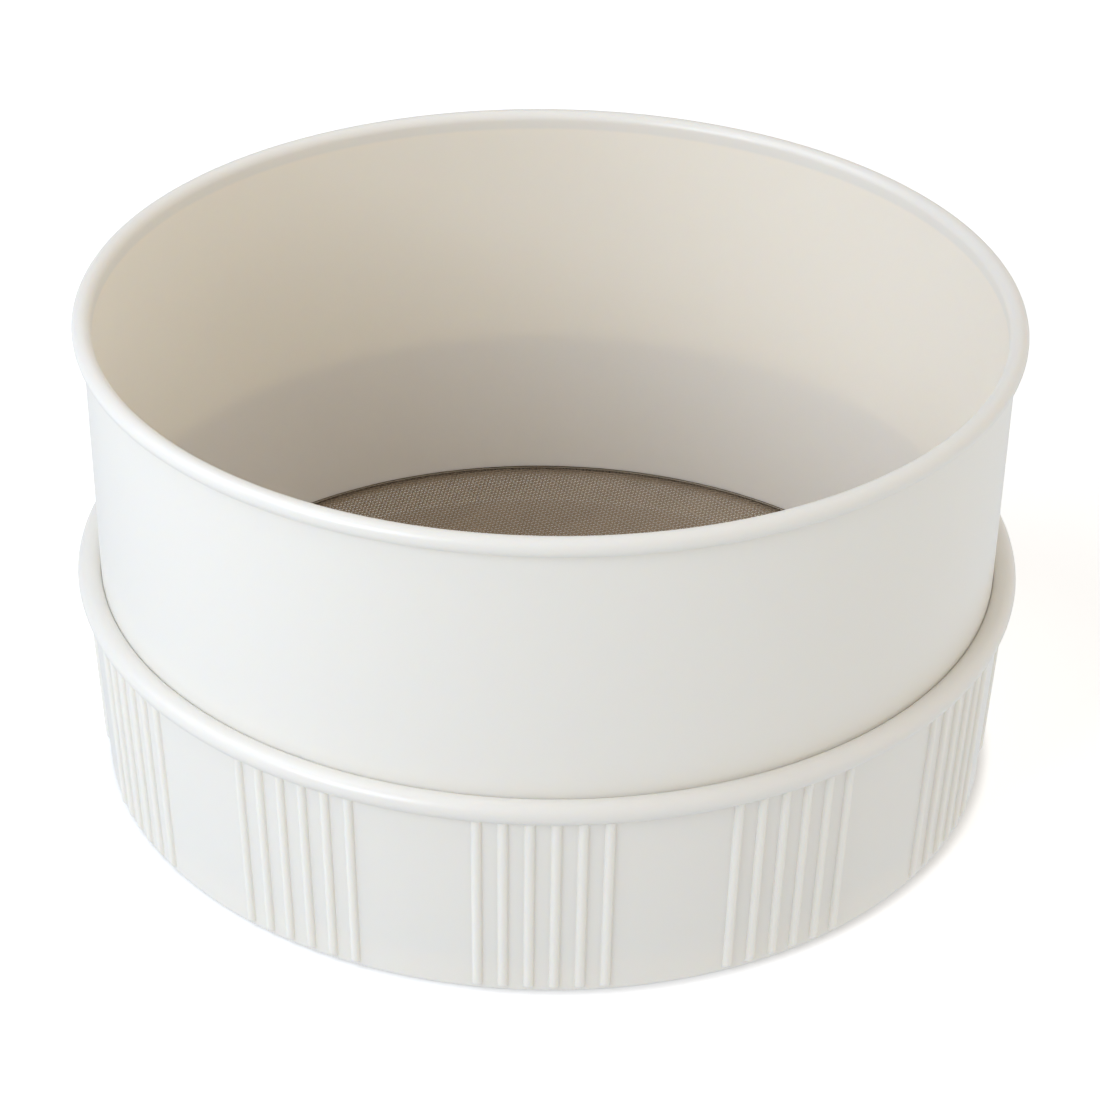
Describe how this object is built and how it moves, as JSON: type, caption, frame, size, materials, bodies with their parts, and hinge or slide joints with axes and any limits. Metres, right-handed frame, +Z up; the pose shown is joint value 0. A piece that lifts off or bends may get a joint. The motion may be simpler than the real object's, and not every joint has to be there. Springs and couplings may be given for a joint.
{
  "type": "drum sieve",
  "caption": "Drum sieve for flour: a plain hopper ring with a round rim bead pushes into a tapered, ribbed base ring and holds a round wire screen near its foot.",
  "frame": {"origin": "centre of the base ring's foot, on the surface that the sieve stands on", "axes": "+Z up along the common axis of the rings; -Y towards the viewer of the picture"},
  "size_m": [0.2562, 0.2562, 0.133],
  "materials": {
    "base_plastic": "satin moulded",
    "hopper_plastic": "satin moulded",
    "screen_wire": "drawn wire",
    "hoop_steel": "crimped sheet"
  },
  "bodies": {
    "base": {"lower_ring": "base_plastic"},
    "screen": {"wire_mesh": "screen_wire", "mesh_hoop": "hoop_steel"},
    "hopper": {"upper_ring": "hopper_plastic"}
  },
  "joints": [
    {"name": "screen_lift", "type": "slide", "parent": "base", "child": "screen", "axis": [0, 0, 1], "range_m": [0, 0.06]},
    {"name": "hopper_lift", "type": "slide", "parent": "screen", "child": "hopper", "axis": [0, 0, 1], "range_m": [0, 0.06]}
  ]
}
